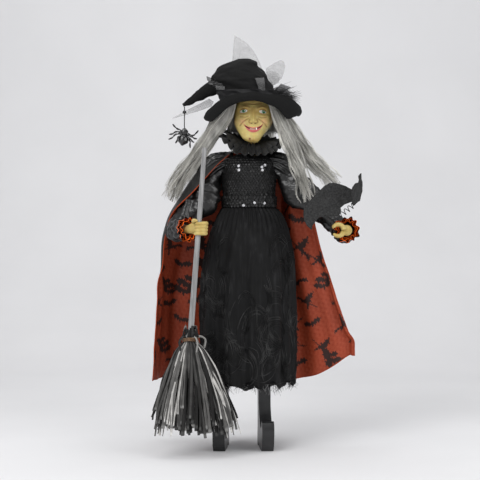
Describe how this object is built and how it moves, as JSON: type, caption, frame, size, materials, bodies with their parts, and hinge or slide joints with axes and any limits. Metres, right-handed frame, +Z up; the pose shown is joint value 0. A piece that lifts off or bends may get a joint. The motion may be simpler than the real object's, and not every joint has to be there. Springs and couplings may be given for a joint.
{
  "type": "animated witch figure",
  "caption": "Standing witch doll with motor-turned head, cloth dress and lined cape, felt hat with hanging spider, broom in one hand and a spring-mounted bat in the other.",
  "frame": {"origin": "centre of the whole outline seen from above, on the surface that the boots stand on", "axes": "+Z up, the figure faces -Y, its left hand is on +X"},
  "size_m": [0.3285, 0.228, 0.656],
  "materials": {
    "boot": "satin black moulding",
    "steel": "bright steel",
    "frame_plastic": "black moulding",
    "motor": "bright can and gear case",
    "white_plastic": "white acetal",
    "board": "green circuit board",
    "speaker": "black cone and frame",
    "cell": "wrapped dry cell",
    "contact": "plated sheet",
    "sequins": "black knit covered with small black sequins",
    "belt": "black band with larger sequins",
    "skirt": "black net with cord embroidery over a dark lining",
    "lace": "black lining with shredded lace at the hem",
    "ruff": "black pleated taffeta",
    "cape": "black satin lined with printed rust cloth",
    "sleeve": "black satin",
    "cuff": "orange and black striped cloth",
    "skin": "pale yellow-green painted vinyl",
    "eye": "white with a green iris",
    "hair": "grey crimped fibre",
    "felt": "black velvet",
    "ribbon": "black ribbon",
    "net": "stiffened pale grey net",
    "thread": "black thread",
    "spider": "glossy black moulding",
    "handle": "dowel painted silver grey",
    "bristle": "black, dark grey and pale grey cloth strips",
    "tie": "brown wire",
    "spring": "black wire",
    "bat": "dark grey glitter felt"
  },
  "bodies": {
    "torso": {"boot_left": "boot", "boot_right": "boot", "leg_tubes": "steel", "hip_block": "frame_plastic", "torso_front": "frame_plastic", "torso_back": "frame_plastic", "torso_screws": "steel", "shoulder_bushes": "white_plastic", "mechanism_plate": "frame_plastic", "gearmotor": "motor", "circuit_board": "board", "speaker": "speaker", "neck_bush": "white_plastic", "battery_box": "frame_plastic", "batteries": "cell", "battery_contacts": "contact", "switch_body": "frame_plastic", "bodice": "sequins", "belt": "belt", "skirt": "skirt", "petticoat": "lace", "ruff": "ruff", "cape": "cape", "hair_left": "hair", "hair_right": "hair", "hair_back": "hair"},
    "head": {"neck_shaft": "steel", "head_gear": "white_plastic", "neck_column": "skin", "face": "skin", "head_back": "skin", "eyes": "eye", "wig": "hair", "hat_brim": "felt", "hat_crown": "felt", "hat_point": "felt", "hat_band": "ribbon", "hat_tulle": "net"},
    "pinion": {"motor_pinion": "white_plastic"},
    "spider": {"spider_cord": "thread", "cord_bead": "spider", "spider_body": "spider", "spider_legs": "spider"},
    "arm_left": {"arm_rod_left": "steel", "sleeve_left": "sleeve", "cuff_left": "cuff", "hand_left": "skin"},
    "arm_right": {"arm_rod_right": "steel", "sleeve_right": "sleeve", "cuff_right": "cuff", "hand_right": "skin"},
    "bat": {"bat_spring": "spring", "bat_body": "bat", "bat_wings": "bat"},
    "broom": {"broom_handle": "handle", "broom_bristles": "bristle", "broom_tie": "tie"},
    "battery_door": {"battery_cover": "frame_plastic"},
    "power_switch": {"switch_slider": "white_plastic"}
  },
  "joints": [
    {"name": "neck_turn", "type": "hinge", "parent": "torso", "child": "head", "pos_m": [0.002, 0.0255, 0.404], "axis": [0, 0, 1], "range_deg": [-20, 20]},
    {"name": "pinion_spin", "type": "hinge", "parent": "torso", "child": "pinion", "pos_m": [-0.018, 0.0255, 0.404], "axis": [0, 0, 1], "range_deg": [-62, 62]},
    {"name": "spider_swing", "type": "hinge", "parent": "head", "child": "spider", "pos_m": [-0.107, 0.0295, 0.5346], "axis": [1, 0, 0], "range_deg": [-20, 20]},
    {"name": "arm_left_lift", "type": "hinge", "parent": "torso", "child": "arm_left", "pos_m": [0.031, 0.0255, 0.441], "axis": [-1, 0, 0], "range_deg": [-3, 12]},
    {"name": "arm_right_lift", "type": "hinge", "parent": "torso", "child": "arm_right", "pos_m": [-0.041, 0.0255, 0.441], "axis": [-1, 0, 0], "range_deg": [0, 12]},
    {"name": "bat_bob", "type": "hinge", "parent": "arm_left", "child": "bat", "pos_m": [0.1235, -0.0555, 0.3535], "axis": [0, 1, 0], "range_deg": [-8, 8], "stiffness_Nm_per_rad": 0.06},
    {"name": "broom_slide", "type": "slide", "parent": "arm_right", "child": "broom", "axis": [0.0751, 0, 0.9972], "range_m": [-0.01, 0.04]},
    {"name": "battery_door_slide", "type": "slide", "parent": "torso", "child": "battery_door", "axis": [0, 0, -1], "range_m": [0, 0.03]},
    {"name": "power_switch_slide", "type": "slide", "parent": "torso", "child": "power_switch", "axis": [1, 0, 0], "range_m": [0, 0.003]}
  ],
  "couplings": [
    {"joint": "pinion_spin", "follows": "neck_turn", "ratio": -3}
  ]
}
